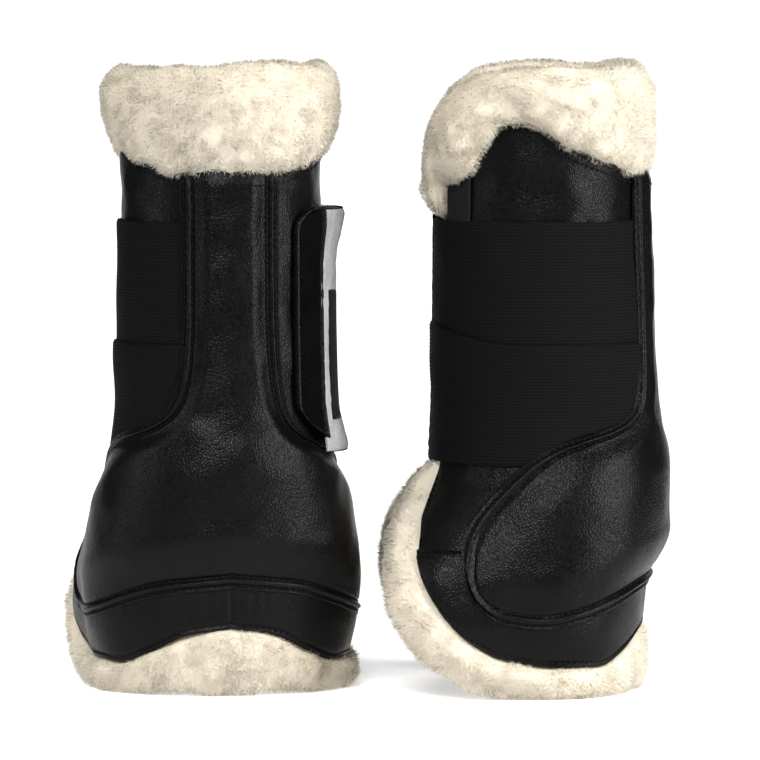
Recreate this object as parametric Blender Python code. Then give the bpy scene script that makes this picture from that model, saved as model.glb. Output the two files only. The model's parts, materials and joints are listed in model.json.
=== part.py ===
"""A pair of tendon boots for a horse's forelegs, standing on their fleece hems.

Each boot is a leather shell lined with fleece. It wraps the cannon bone, is open down the front, and has a
padded strike panel that widens into a fetlock cup at the back. Two wide elastics, sewn on at the medial
side, cross the open front and end in one hook tab that closes on the lateral side.

Every sheet of a boot is a patch of one shared form. A patch is given by an angle t around the leg, in
degrees from the middle of the back (negative on the medial side, 180 at the front), a height z, and an
offset d outwards from the leather's outer face. Lengths are in millimetres until a mesh is written.
"""

import math

import bmesh
import bpy
import numpy as np

MM = 0.001

# Where the two boots stand. The first shows its back to -Y, the second its medial side.
BOOT_PLACES = {
    "boot1": {"x": -55.91, "y": -2.38, "turn_deg": 7.0},
    "boot2": {"x": 69.39, "y": -2.38, "turn_deg": 90.0},
}

# Shared form: half width to each side, depth to the back and depth to the front, at heights z.
HALF_WIDTH = [(0, 45.0), (8, 46.5), (18, 49.7), (30, 51.5), (55, 48.5), (72, 46.0), (88, 42.0),
              (104, 40.0), (125, 38.9), (150, 38.5), (180, 38.5), (205, 39.2), (245, 40.0)]
BACK_DEPTH = [(0, 36.0), (30, 37.5), (60, 41.0), (100, 40.6), (140, 39.0), (180, 37.4), (245, 36.5)]
FRONT_DEPTH = [(0, 46.0), (20, 50.0), (40, 54.0), (55, 55.0), (66, 53.5), (78, 47.5), (88, 43.6),
               (104, 42.2), (140, 41.4), (200, 41.0), (245, 41.0)]

# Below these heights the open front turns square, and the medial flap flares out.
FLAP_HEIGHT = (43.0, 84.0)
FLAP_SQUARE = 0.6
FLAP_FLARE = 10.0
FLARE_ANGLES = (95.0, 145.0)

# Edges of the leather, as heights over the angle or as angles over the height.
LEATHER_BOTTOM = [(0, 26.0), (18, 23.5), (38, 16.5), (58, 11.8), (85, 12.0), (110, 15.5), (125, 22),
                  (138, 32.5), (148, 45), (154, 56)]
LEATHER_FRONT = [(10, 154.0), (56, 154.0), (70, 156.5), (85, 160.0), (245, 160.0)]
COLLAR_LOW = [(0, 199.5), (30, 201), (58, 206), (82, 212.5), (100, 220.5), (113, 219.5), (124, 212),
              (133, 202), (145, 198), (170, 197)]
COLLAR_TOP = [(0, 242), (90, 242), (125, 239), (150, 231), (170, 222)]
HEM_LOW = [(0, 0), (118, 0), (130, 4), (142, 11), (152, 22), (162, 38), (170, 50)]

# The strike panel's edge and the cup's outline, which sits lower on the lateral side.
PANEL_EDGE = [(98, 78.0), (100, 71.0), (102, 59.0), (105.5, 46.0), (110, 37.5), (118, 32.0), (128, 29.5),
              (145, 28.3), (205, 28.0)]
CUP_LOW = [(0, 41.5), (30, 38.5), (48, 34.5), (70, 29.5), (92, 27), (108, 29), (118, 35), (124, 45)]
CUP_HIGH = [(78, 98.2), (88, 96), (98, 91.5), (110, 83), (120, 72), (124, 62)]
CUP_END = 124.0
LATERAL_DROP = 6.0
DROP_END_HEIGHT = (104.0, 140.0)
DROP_START_ANGLE = 30.0
COVER_TOP = 198.6

# Layers, as offsets from the outer face of the leather.
GAP = 0.6
LINING = (-10.6, -3.4)
SHELL = (-2.0, 0.0)
PLATE = (1.2, 2.4)
PLATE_SHARE = 0.45
PLATE_HEIGHT = (52.0, 190.0)
PLATE_TAPER = 10.0
PAD_OUTER = 5.4
PAD_ANGLE = 36.0
PAD_HEIGHT = (55.0, 80.0)
COVER_THICKNESS = 1.2
PANEL_LIFT = 4.4
CUP_LIFT = 8.0
RIM_LIFT = 2.7
RIM_GAP = 1.5
CUP_SEAM_RUN = 10.0
CUP_END_RUN = 20.0
CUP_TOP_RUN = 14.0
CUP_TOP_ANGLES = (55.0, 78.0)
CUP_INTO_PANEL = (88.0, 112.0)
PANEL_PADDING_ANGLES = (18.0, 27.0)
PANEL_PADDING_HEIGHT = (86.0, 104.0)
BAND = (GAP, 2.2)
ELASTIC = (1.5, 2.8)
LOOP = (0.8, 1.6)
LABEL = (GAP, 1.4)
BADGE_THICKNESS = 1.2
HOOK = (2.3, 3.2)
TAB_INNER = 3.9
TAB_THICKNESS = 1.8
TONGUE_THICKNESS = 1.6
TONGUE_INNER = (1.4, 3.4)
TAB_STAND_OFF = 0.4
TAB_CORNER_FLARE = (2.6, 3.4)
TAB_LOW_CORNER = (91.0, 112.0)
TAB_HIGH_CORNER = (165.0, 186.0)
TAB_FLARE_ANGLES = (50.0, 84.0, 110.0, 146.0)
COLLAR = (-10.6, 6.0)
COLLAR_GAP = 2.4
COLLAR_EDGE_SHARE = 0.35
COLLAR_ROUNDNESS = 0.6
HEM = (-10.6, 8.0)
HEM_BACK_SHARE = 0.55
HEM_SIDE_ANGLES = (25.0, 70.0)
HEM_TOP_LOSS = 0.35
FRONT_FLEECE = (-10.0, -0.8)
FRONT_SWELL = 7.5

# Split lines between the back and the two wings, and the run of the straps.
SPLIT = 78.0
SPLIT_GAP = 0.6
LINING_SET_BACK = 1.0
FLEECE_BEYOND = 9.0
FLEECE_GAP = 0.8
FRONT_FLEECE_HEIGHT = (57.0, 196.0)
FRONT_SWELL_END = (68.0, 82.0)
HEM_END = 163.0
HEM_HIGHEST = 55.0
COLLAR_END = 169.0
ANCHOR_END = 157.0
STRAP_START = -159.0
STRAP_END = -209.0
TAB_FRONT = 149.0
TAB_TURN = 57.0
TONGUE_END = 39.0
UPPER_ELASTIC = (134.6, 182.0)
LOWER_ELASTIC = (89.0, 134.0)
TAB_HEIGHT = (93.0, 186.0)
TONGUE_LOW = (98.5, 106.5)
TONGUE_GAP = 1.0
TONGUE_CORNER = (0.12, 2.2)
LABEL_ANGLES = (-154.0, -134.0)
LABEL_HEIGHT = (184.0, 196.5)
LOOP_END = 145.0
LOOP_HEIGHT = (94.0, 182.0)
HOOK_ANGLES = (80.0, 143.0)
HOOK_HEIGHT = (96.0, 181.0)
BADGE_ANGLES = (61.0, 76.0)
BADGE_HEIGHT = (105.0, 155.0)

# Hinge lines, in a boot's own x and y.
WING_HINGE_X = 62.0
WING_HINGE_Y = -4.0
STRAP_HINGE = (-15.6, 44.6)
TAB_HINGE = (24.6, 46.6)

# Mesh spacing in degrees and millimetres, and the angle above which an edge is drawn sharp.
ANGLE_STEP = 13.0
HEIGHT_STEP = 21.0
SHARP_DEG = 35.0

COLOURS = {
    "leather": ((0.018, 0.017, 0.017), 0.45),
    "fleece": ((0.82, 0.74, 0.60), 0.95),
    "elastic": ((0.012, 0.012, 0.013), 0.85),
    "plate": ((0.05, 0.05, 0.055), 0.5),
    "foam": ((0.10, 0.10, 0.11), 0.9),
    "hook": ((0.02, 0.02, 0.02), 0.9),
    "loop": ((0.015, 0.015, 0.015), 0.95),
    "plush": ((0.34, 0.34, 0.34), 0.95),
    "badge": ((0.01, 0.01, 0.01), 0.5),
    "label": ((0.03, 0.03, 0.03), 0.8),
}


def curve(stations):
    """A smooth function through stations, level at both ends and without overshoot between them."""
    xs = np.array([s[0] for s in stations], float)
    ys = np.array([s[1] for s in stations], float)
    slopes = np.diff(ys) / np.diff(xs)
    sums = slopes[:-1] + slopes[1:]
    products = slopes[:-1] * slopes[1:]
    inner = np.where(products > 0, 2 * products / np.where(sums == 0, 1, sums), 0.0)
    tangents = np.concatenate([[slopes[0]], inner, [slopes[-1]]])

    def at(x):
        x = np.clip(x, xs[0], xs[-1])
        i = np.clip(np.searchsorted(xs, x, side="right") - 1, 0, len(xs) - 2)
        span = xs[i + 1] - xs[i]
        s = (x - xs[i]) / span
        return (ys[i] * (2 * s**3 - 3 * s**2 + 1) + ys[i + 1] * (3 * s**2 - 2 * s**3)
                + span * tangents[i] * (s**3 - 2 * s**2 + s) + span * tangents[i + 1] * (s**3 - s**2))

    return at


half_width = curve(HALF_WIDTH)
back_depth = curve(BACK_DEPTH)
front_depth = curve(FRONT_DEPTH)
leather_bottom = curve(LEATHER_BOTTOM)
leather_front = curve(LEATHER_FRONT)
collar_low = curve(COLLAR_LOW)
collar_top = curve(COLLAR_TOP)
hem_low = curve(HEM_LOW)
panel_edge = curve(PANEL_EDGE)
cup_low = curve(CUP_LOW)
cup_high = curve(CUP_HIGH)


def ramp(x, start, end):
    """0 before start, 1 after end, smooth between."""
    s = np.clip((x - start) / (end - start), 0.0, 1.0)
    return s * s * (3 - 2 * s)


def form_point(t, z, d):
    """The point at angle t, height z and offset d of a boot, in millimetres in the boot's own axes."""
    angle = math.radians(t)
    side = math.sin(angle)
    flap = 1.0 - ramp(z, *FLAP_HEIGHT)
    depth = back_depth(z)
    if math.cos(angle) < 0:
        side = math.copysign(abs(side) ** (1.0 - FLAP_SQUARE * flap), side)
        depth = front_depth(z)
    flare = FLAP_FLARE * flap * ramp(-t, *FLARE_ANGLES)
    return ((half_width(z) + d) * side - flare, -(depth + d) * math.cos(angle), z)


def steps(length, step):
    return max(1, math.ceil(length / step))


def patch(across, up, place, inner, outer):
    """A closed sheet over a grid. place(u, v) gives angle and height, inner and outer the offsets there."""
    mesh = bmesh.new()
    faces = []
    for offset in (inner, outer):
        grid = []
        for i in range(across + 1):
            column = []
            for j in range(up + 1):
                t, z = place(i / across, j / up)
                column.append(mesh.verts.new(form_point(t, z, offset(t, z))))
            grid.append(column)
        faces.append(grid)
    inside, outside = faces
    for i in range(across):
        for j in range(up):
            for grid in faces:
                mesh.faces.new((grid[i][j], grid[i + 1][j], grid[i + 1][j + 1], grid[i][j + 1]))
    for i in range(across):
        for j in (0, up):
            mesh.faces.new((inside[i][j], inside[i + 1][j], outside[i + 1][j], outside[i][j]))
    for j in range(up):
        for i in (0, across):
            mesh.faces.new((inside[i][j], inside[i][j + 1], outside[i][j + 1], outside[i][j]))
    bmesh.ops.recalc_face_normals(mesh, faces=mesh.faces)
    if mesh.calc_volume(signed=True) < 0:
        bmesh.ops.reverse_faces(mesh, faces=mesh.faces)
    return mesh


def strip(start, end, low, high, inner, outer, angle_step=ANGLE_STEP, height_step=HEIGHT_STEP):
    """A patch between two angles and two heights. Each bound is a number, or a function of the other one."""

    def bound(value, at):
        return value(at) if callable(value) else value

    def place(u, v):
        middle = 0.5 * (bound(low, 0.0) + bound(high, 0.0))
        t = bound(start, middle) + (bound(end, middle) - bound(start, middle)) * u
        z = bound(low, abs(t)) + (bound(high, abs(t)) - bound(low, abs(t))) * v
        t = bound(start, z) + (bound(end, z) - bound(start, z)) * u
        return t, z

    middle = 0.5 * (bound(low, 0.0) + bound(high, 0.0))
    width = abs(bound(end, middle) - bound(start, middle))
    height = max(bound(high, a) - bound(low, a) for a in (0.0, 60.0, 120.0))
    return patch(steps(width, angle_step), steps(height, height_step), place,
                 lambda t, z: bound_offset(inner, t, z), lambda t, z: bound_offset(outer, t, z))


def bound_offset(value, t, z):
    return value(t, z) if callable(value) else value


def below(edge, gap=GAP):
    return lambda t: edge(t) - gap


def above(edge, gap=GAP):
    return lambda t: edge(t) + gap


def outline_height(t, z):
    """The height at which the cover's outline is read: on the lateral side the outline sits lower."""
    return z + LATERAL_DROP * (1.0 - ramp(z, *DROP_END_HEIGHT)) * ramp(t, 0.0, DROP_START_ANGLE)


def cup_lift(t, z):
    """How far the cover's outer face stands off the leather, over the panel and the cup."""
    a = abs(t)
    z = outline_height(t, z)
    top = cup_high(max(a, CUP_TOP_ANGLES[1]))
    over_seam = ramp(z - cup_low(a), 0.0, CUP_SEAM_RUN)
    before_end = ramp(CUP_END - a, 0.0, CUP_END_RUN)
    under_panel = 1.0 - ramp(z, *CUP_INTO_PANEL)
    under_top = 1.0 - ramp(z - top + CUP_TOP_RUN, 0.0, CUP_TOP_RUN) * ramp(a, *CUP_TOP_ANGLES)
    cup = CUP_LIFT * over_seam * before_end * under_panel * under_top
    padding = (1.0 - ramp(a, *PANEL_PADDING_ANGLES)) * ramp(z, *PANEL_PADDING_HEIGHT)
    return max(cup, RIM_LIFT + (PANEL_LIFT - RIM_LIFT) * padding)


def cover_edge(side, z):
    return min(panel_edge(outline_height(side * SPLIT, z)), SPLIT)


# --- sub-parts of the back -----------------------------------------------------------------------------

def back_lining():
    return strip(-SPLIT, SPLIT, above(hem_top), below(collar_low), *LINING)


def back_shell():
    return strip(-SPLIT, SPLIT, leather_bottom, below(collar_low), *SHELL)


def strike_plate():
    """The stiff plate that the cover hides: a tongue up the tendon that widens into the cup."""
    low, high = PLATE_HEIGHT

    def place(u, v):
        side = 2.0 * u - 1.0
        z = low + (high - low) * v
        return side * PLATE_SHARE * cover_edge(side, z + PLATE_TAPER), z

    return patch(6, 14, place, lambda t, z: PLATE[0], lambda t, z: PLATE[1])


def impact_pad():
    return strip(-PAD_ANGLE, PAD_ANGLE, *PAD_HEIGHT, PLATE[1] + GAP, pad_outer)


def pad_outer(t, z):
    return min(PAD_OUTER, cup_lift(t, z) - COVER_THICKNESS - RIM_GAP)


def strike_cover():
    """The leather over the plate and the pad, sewn down all round its edge."""

    def place(u, v):
        side = 2.0 * u - 1.0
        low = cup_low(SPLIT * abs(side))
        z = low + (COVER_TOP - low) * v
        return side * cover_edge(side, z), z

    def under(t, z):
        return max(RIM_GAP, cup_lift(t, z) - COVER_THICKNESS)

    return patch(14, 20, place, under, cup_lift)


def lower_band():
    """The leather band under the cup, from the cup's bottom seam to the edge."""
    return strip(-SPLIT, SPLIT, leather_bottom, below(cup_low), *BAND, height_step=30.0)


def back_collar():
    return strip(-SPLIT, SPLIT, collar_low, collar_top, COLLAR[0], collar_swell, height_step=12.0)


def collar_swell(t, z):
    """The collar's outer offset: fullest in the middle of its height."""
    share = (z - collar_low(abs(t))) / (collar_top(abs(t)) - collar_low(abs(t)))
    fullness = math.sin(math.pi * min(max(share, 0.0), 1.0)) ** COLLAR_ROUNDNESS
    return COLLAR[1] * (COLLAR_EDGE_SHARE + (1.0 - COLLAR_EDGE_SHARE) * fullness)


def hem_top(t):
    return leather_bottom(t) - GAP


def hem_swell(t, z):
    """The hem's outer offset: it rolls out past the leather, most at the sides."""
    share = (z - hem_low(abs(t))) / max(hem_top(abs(t)) - hem_low(abs(t)), 1.0)
    sides = HEM_BACK_SHARE + (1.0 - HEM_BACK_SHARE) * ramp(abs(t), *HEM_SIDE_ANGLES)
    return HEM[1] * sides * (1.0 - HEM_TOP_LOSS * min(max(share, 0.0), 1.0))


def back_hem():
    return strip(-SPLIT, SPLIT, hem_low, hem_top, HEM[0], hem_swell, height_step=13.0)


# --- sub-parts of a wing; side is -1 for the medial wing and 1 for the lateral wing ---------------------

def wing_strip(side, end, low, high, inner, outer, start=SPLIT + SPLIT_GAP, **options):
    """A strip from the split line towards the front, on either side."""

    def signed(value):
        return (lambda z: side * value(z)) if callable(value) else side * value

    return strip(signed(start), signed(end), low, high, inner, outer, **options)


def wing_lining(side):
    return wing_strip(side, lambda z: leather_front(z) - LINING_SET_BACK, above(hem_top),
                      below(collar_low, COLLAR_GAP), *LINING)


def wing_shell(side):
    return wing_strip(side, leather_front, leather_bottom, below(collar_low, COLLAR_GAP), *SHELL)


def wing_cup(side):
    """The cup's side, which closes towards the front in a round end."""

    def under(t, z):
        return max(RIM_GAP, cup_lift(t, z) - COVER_THICKNESS)

    def high(a):
        return cup_high(a) - LATERAL_DROP * ramp(side, 0.0, 1.0)

    return wing_strip(side, CUP_END, cup_low, high, under, cup_lift)


def wing_collar(side):
    return wing_strip(side, COLLAR_END, collar_low, collar_top, COLLAR[0], collar_swell, height_step=12.0)


def wing_hem(side):
    return wing_strip(side, HEM_END, hem_low, lambda t: min(hem_top(t), HEM_HIGHEST), HEM[0], hem_swell,
                      height_step=13.0)


def front_swell(t, z):
    """The front fleece stays under the straps, and swells below them where the boot flares."""
    return FRONT_FLEECE[1] + FRONT_SWELL * (1.0 - ramp(z, *FRONT_SWELL_END))


def wing_front_fleece(side):
    """The fleece that shows along the open front, past the leather's edge."""
    return wing_strip(side, lambda z: leather_front(z) + FLEECE_BEYOND, *FRONT_FLEECE_HEIGHT, FRONT_FLEECE[0],
                      front_swell, start=lambda z: leather_front(z) + FLEECE_GAP, height_step=15.0)


def elastic_anchor(low, high):
    """The sewn-down run of an elastic on the medial wing, which ends at the cup's upper edge."""

    def above_cup(a):
        return max(low, cup_high(a) + GAP)

    return wing_strip(-1, ANCHOR_END, above_cup, high, *ELASTIC, height_step=16.0)


def woven_label():
    return strip(*LABEL_ANGLES, *LABEL_HEIGHT, *LABEL)


def loop_patch():
    return wing_strip(1, LOOP_END, *LOOP_HEIGHT, *LOOP, height_step=22.0)


# --- straps and tab -------------------------------------------------------------------------------------

def free_elastic(low, high):
    """The run of an elastic across the open front, up to the tab."""
    return strip(STRAP_START, STRAP_END, low, high, *ELASTIC, height_step=16.0)


def tab_flare(t, z):
    """The tab stands off the shell most at its upper and lower corners, and towards its middle length."""
    low, high = TAB_CORNER_FLARE
    corners = high * ramp(z, *TAB_HIGH_CORNER) + low * (1.0 - ramp(z, *TAB_LOW_CORNER))
    rise_start, rise_end, fall_start, fall_end = TAB_FLARE_ANGLES
    along = ramp(t, rise_start, rise_end) * (1.0 - ramp(t, fall_start, fall_end))
    return (TAB_STAND_OFF + corners) * along


def hook_patch():
    def inner(t, z):
        return HOOK[0] + tab_flare(t, z)

    def outer(t, z):
        return HOOK[1] + tab_flare(t, z)

    return strip(*HOOK_ANGLES, *HOOK_HEIGHT, inner, outer, height_step=15.0)


def tab_panel():
    def inner(t, z):
        return TAB_INNER + tab_flare(t, z)

    def outer(t, z):
        return TAB_INNER + TAB_THICKNESS + tab_flare(t, z)

    return strip(TAB_TURN, TAB_FRONT, *TAB_HEIGHT, inner, outer, height_step=15.0)


def pull_tongue():
    """The tab's dark pull end, with its corners rounded."""
    near, far = TONGUE_LOW
    high = TAB_HEIGHT[1]
    root = TAB_TURN - TONGUE_GAP
    shortest, growth = TONGUE_CORNER

    def place(u, v):
        from_corner = min(1.0, growth * min(v, 1.0 - v) + shortest)
        round_off = math.sqrt(1.0 - (1.0 - from_corner) ** 2)
        low = near + (far - near) * u
        return root - (root - TONGUE_END) * round_off * u, low + (high - low) * v

    def inner(t, z):
        return TONGUE_INNER[0] + (TONGUE_INNER[1] - TONGUE_INNER[0]) * ramp(t, TONGUE_END, TAB_TURN)

    def outer(t, z):
        return inner(t, z) + TONGUE_THICKNESS

    return patch(3, 9, place, inner, outer)


def tab_badge():
    base = TAB_INNER + TAB_THICKNESS + GAP

    def inner(t, z):
        return base + tab_flare(t, z)

    def outer(t, z):
        return base + BADGE_THICKNESS + tab_flare(t, z)

    return strip(*BADGE_ANGLES, *BADGE_HEIGHT, inner, outer, height_step=15.0)


# --- assembly -------------------------------------------------------------------------------------------

# Each sub-part: its body, its material and the function that makes it.
SUB_PARTS = {
    "back_lining": ("back", "fleece", back_lining),
    "back_shell": ("back", "leather", back_shell),
    "strike_plate": ("back", "plate", strike_plate),
    "impact_pad": ("back", "foam", impact_pad),
    "strike_cover": ("back", "leather", strike_cover),
    "lower_band": ("back", "leather", lower_band),
    "back_collar": ("back", "fleece", back_collar),
    "back_hem": ("back", "fleece", back_hem),
    "medial_lining": ("medial_wing", "fleece", lambda: wing_lining(-1)),
    "medial_shell": ("medial_wing", "leather", lambda: wing_shell(-1)),
    "medial_cup": ("medial_wing", "leather", lambda: wing_cup(-1)),
    "medial_collar": ("medial_wing", "fleece", lambda: wing_collar(-1)),
    "medial_hem": ("medial_wing", "fleece", lambda: wing_hem(-1)),
    "medial_front_fleece": ("medial_wing", "fleece", lambda: wing_front_fleece(-1)),
    "upper_anchor": ("medial_wing", "elastic", lambda: elastic_anchor(*UPPER_ELASTIC)),
    "lower_anchor": ("medial_wing", "elastic", lambda: elastic_anchor(*LOWER_ELASTIC)),
    "woven_label": ("medial_wing", "label", woven_label),
    "lateral_lining": ("lateral_wing", "fleece", lambda: wing_lining(1)),
    "lateral_shell": ("lateral_wing", "leather", lambda: wing_shell(1)),
    "lateral_cup": ("lateral_wing", "leather", lambda: wing_cup(1)),
    "lateral_collar": ("lateral_wing", "fleece", lambda: wing_collar(1)),
    "lateral_hem": ("lateral_wing", "fleece", lambda: wing_hem(1)),
    "lateral_front_fleece": ("lateral_wing", "fleece", lambda: wing_front_fleece(1)),
    "loop_patch": ("lateral_wing", "loop", loop_patch),
    "upper_elastic": ("straps", "elastic", lambda: free_elastic(*UPPER_ELASTIC)),
    "lower_elastic": ("straps", "elastic", lambda: free_elastic(*LOWER_ELASTIC)),
    "tab_panel": ("tab", "plush", tab_panel),
    "pull_tongue": ("tab", "leather", pull_tongue),
    "hook_patch": ("tab", "hook", hook_patch),
    "tab_badge": ("tab", "badge", tab_badge),
}

# Each body's hinge line in a boot's own x and y, on which its parent empty stands.
HINGES = {
    "back": (0.0, 0.0),
    "medial_wing": (-WING_HINGE_X, WING_HINGE_Y),
    "lateral_wing": (WING_HINGE_X, WING_HINGE_Y),
    "straps": STRAP_HINGE,
    "tab": TAB_HINGE,
}


def principled(name):
    colour, roughness = COLOURS[name]
    material = bpy.data.materials.new(name)
    material.use_nodes = True
    shader = material.node_tree.nodes["Principled BSDF"]
    shader.inputs["Base Color"].default_value = (*colour, 1.0)
    shader.inputs["Roughness"].default_value = roughness
    shader.inputs["Metallic"].default_value = 0.0
    return material


def empty(name, parent, x, y):
    holder = bpy.data.objects.new(name, None)
    holder.empty_display_size = 0.02
    holder.location = (x * MM, y * MM, 0.0)
    holder.parent = parent
    bpy.context.collection.objects.link(holder)
    return holder


def add_sub_part(name, shape, hinge, holder, material):
    """Writes a patch as an object whose origin is its holder's, on the hinge line."""
    bmesh.ops.translate(shape, verts=shape.verts, vec=(-hinge[0], -hinge[1], 0.0))
    bmesh.ops.scale(shape, verts=shape.verts, vec=(MM, MM, MM))
    data = bpy.data.meshes.new(name)
    shape.to_mesh(data)
    shape.free()
    data.materials.append(material)
    data.shade_smooth()
    data.set_sharp_from_angle(angle=math.radians(SHARP_DEG))
    part = bpy.data.objects.new(name, data)
    part.parent = holder
    bpy.context.collection.objects.link(part)


def build_boot(boot, materials):
    place = BOOT_PLACES[boot]
    root = empty(boot, None, place["x"], place["y"])
    root.rotation_euler.z = math.radians(place["turn_deg"])
    holders = {body: empty(f"{boot}_{body}_line", root, *hinge) for body, hinge in HINGES.items()}
    for name, (body, material, make) in SUB_PARTS.items():
        add_sub_part(f"{boot}_{name}", make(), HINGES[body], holders[body], materials[material])


def main():
    for old in list(bpy.data.objects):
        bpy.data.objects.remove(old, do_unlink=True)
    materials = {name: principled(name) for name in COLOURS}
    for boot in BOOT_PLACES:
        build_boot(boot, materials)


main()
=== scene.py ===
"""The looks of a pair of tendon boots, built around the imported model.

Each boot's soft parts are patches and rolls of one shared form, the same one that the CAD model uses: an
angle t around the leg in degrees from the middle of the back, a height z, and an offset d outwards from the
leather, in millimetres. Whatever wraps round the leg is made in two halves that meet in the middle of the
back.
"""

import json
import math

import bpy
import numpy as np
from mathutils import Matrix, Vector


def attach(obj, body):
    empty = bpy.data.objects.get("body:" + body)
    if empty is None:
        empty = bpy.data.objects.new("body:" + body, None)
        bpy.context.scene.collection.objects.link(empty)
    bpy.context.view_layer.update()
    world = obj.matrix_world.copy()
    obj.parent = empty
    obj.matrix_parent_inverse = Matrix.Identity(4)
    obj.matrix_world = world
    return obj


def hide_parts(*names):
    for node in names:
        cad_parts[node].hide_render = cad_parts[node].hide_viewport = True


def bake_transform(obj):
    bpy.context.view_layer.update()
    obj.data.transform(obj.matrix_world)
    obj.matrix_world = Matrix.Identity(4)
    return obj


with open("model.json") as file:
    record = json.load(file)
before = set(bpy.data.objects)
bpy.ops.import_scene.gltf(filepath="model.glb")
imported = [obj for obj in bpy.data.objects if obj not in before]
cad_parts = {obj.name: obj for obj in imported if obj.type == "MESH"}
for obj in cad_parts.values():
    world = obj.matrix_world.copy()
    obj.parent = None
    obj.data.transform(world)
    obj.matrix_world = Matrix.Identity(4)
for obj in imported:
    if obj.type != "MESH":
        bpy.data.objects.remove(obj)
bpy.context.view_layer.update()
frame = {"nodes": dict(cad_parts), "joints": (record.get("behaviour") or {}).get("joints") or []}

MM = 0.001
MEDIAL, LATERAL = -1, 1
SIDES = {"medial": MEDIAL, "lateral": LATERAL}

# The form shared with the CAD model: half width, depth to the back and depth to the front at heights z.
HALF_WIDTH = [(0, 45.0), (8, 46.5), (18, 49.7), (30, 51.5), (55, 48.5), (72, 46.0), (88, 42.0),
              (104, 40.0), (125, 38.9), (150, 38.5), (180, 38.5), (205, 39.2), (245, 40.0)]
BACK_DEPTH = [(0, 36.0), (30, 37.5), (60, 41.0), (100, 40.6), (140, 39.0), (180, 37.4), (245, 36.5)]
FRONT_DEPTH = [(0, 46.0), (20, 50.0), (40, 54.0), (55, 55.0), (66, 53.5), (78, 47.5), (88, 43.6),
               (104, 42.2), (140, 41.4), (200, 41.0), (245, 41.0)]
LEATHER_BOTTOM = [(0, 26.0), (18, 23.5), (38, 16.5), (58, 11.8), (85, 12.0), (110, 15.5), (125, 22),
                  (138, 32.5), (148, 45), (154, 56)]
LEATHER_FRONT = [(10, 154.0), (56, 154.0), (70, 156.5), (85, 160.0), (245, 160.0)]
COLLAR_LOW = [(0, 199.5), (30, 201), (58, 206), (82, 212.5), (100, 220.5), (113, 219.5), (124, 212),
              (133, 202), (145, 198), (170, 197)]
COLLAR_TOP = [(0, 242), (90, 242), (125, 239), (150, 231), (170, 222)]
CUP_LOW = [(0, 41.5), (30, 38.5), (48, 34.5), (70, 29.5), (92, 27), (108, 29), (118, 35), (124, 45)]

# Below these heights the open front turns square, and the medial flap flares out.
FLAP_HEIGHT, FLARE_ANGLES = (43.0, 84.0), (95.0, 145.0)
FLAP_SQUARE, FLAP_FLARE = 0.6, 10.0

# The strike cover's outline: the height of a row at the middle of the back, then the angle and the height
# at which that row meets the outline. On the lateral side the outline's upper part sits lower.
COVER_ROWS = [(41.5, 124, 45), (46.5, 125.5, 53), (54, 124.5, 63), (61, 119, 73.5), (68, 110, 83),
              (75, 99, 91), (82, 86, 96.5), (88, 72, 100), (94, 58, 102.5), (100, 46, 105.5), (107, 37, 110),
              (115, 32, 117.5), (127, 29.5, 128), (145, 28.3, 145), (206, 28, 206)]
LATERAL_DROP = 6.0
COVER_LOW, COVER_HIGH = 41.5, 206.0

# Straps and tab, as in the CAD model.
UPPER_ELASTIC = (131.0, 182.0)
LOWER_ELASTIC = (89.0, 135.0)
TAB_HEIGHT = (93.0, 186.0)
TAB_TURN, TAB_FRONT, TONGUE_END = 57.0, 149.0, 39.0
STRAP_ROOT, STRAP_SPLIT, STRAP_END = -24.5, -108.0, -209.0
LOWER_RISE = 7.0
WING_HINGE_Y = -4.0

# Places across a wing's hinge line, front to back, and across the straps', side to side.
WING_BEND, STRAP_BEND = (-24.0, 10.0), (-20.0, -8.0)

# The tongue's corner radii, and the bounds of the patches: two angles, then two heights.
TONGUE_CORNER, TONGUE_LOW_CORNER = 11.0, 6.0
BADGE = (63.5, 73.5, 105.0, 155.0)
LOOP_TAPE, HOOK_TAPE = (79.5, 145.0, 94.0, 182.0), (80.0, 143.0, 96.0, 181.0)
SEAM_TAPE = (154.0, 143.5, 92.0, 183.0)
LABEL = (-154.0, -134.0, 181.0, 200.0)

# Sewing: how far the two rows lie inside the cover's outline, a stitch's pitch, length and radius, the
# webbing's pitches and a fibre's width.
SEAM_ROWS = (1.7, 5.4)
STITCH = (2.45, 1.7, 0.38)
OVERLOCK = (1.3, 1.5, 0.24)
RIB_PITCH, WEFT_PITCH = 1.25, 0.62
PILE_WIDTH = 0.30


# --- the form ---

def curve(stations):
    """A smooth function through stations, without overshoot between them."""
    xs, ys = np.array(stations, float).T
    slopes = np.diff(ys) / np.diff(xs)
    sums = slopes[:-1] + slopes[1:]
    product = slopes[:-1] * slopes[1:]
    inner = np.where(product > 0, 2 * product / np.where(sums == 0, 1, sums), 0.0)
    tangents = np.concatenate([[slopes[0]], inner, [slopes[-1]]])

    def at(x):
        x = np.clip(x, xs[0], xs[-1])
        i = np.clip(np.searchsorted(xs, x, side="right") - 1, 0, len(xs) - 2)
        span = xs[i + 1] - xs[i]
        s = (x - xs[i]) / span
        return (ys[i] * (2 * s**3 - 3 * s**2 + 1) + ys[i + 1] * (3 * s**2 - 2 * s**3)
                + span * tangents[i] * (s**3 - 2 * s**2 + s) + span * tangents[i + 1] * (s**3 - s**2))

    return at


half_width, back_depth, front_depth = curve(HALF_WIDTH), curve(BACK_DEPTH), curve(FRONT_DEPTH)
leather_bottom, leather_front = curve(LEATHER_BOTTOM), curve(LEATHER_FRONT)
collar_low, collar_top, cup_low = curve(COLLAR_LOW), curve(COLLAR_TOP), curve(CUP_LOW)
cover_edge_angle = curve([(row[0], row[1]) for row in COVER_ROWS])
cover_edge_height = curve([(row[0], row[2]) for row in COVER_ROWS])


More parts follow.
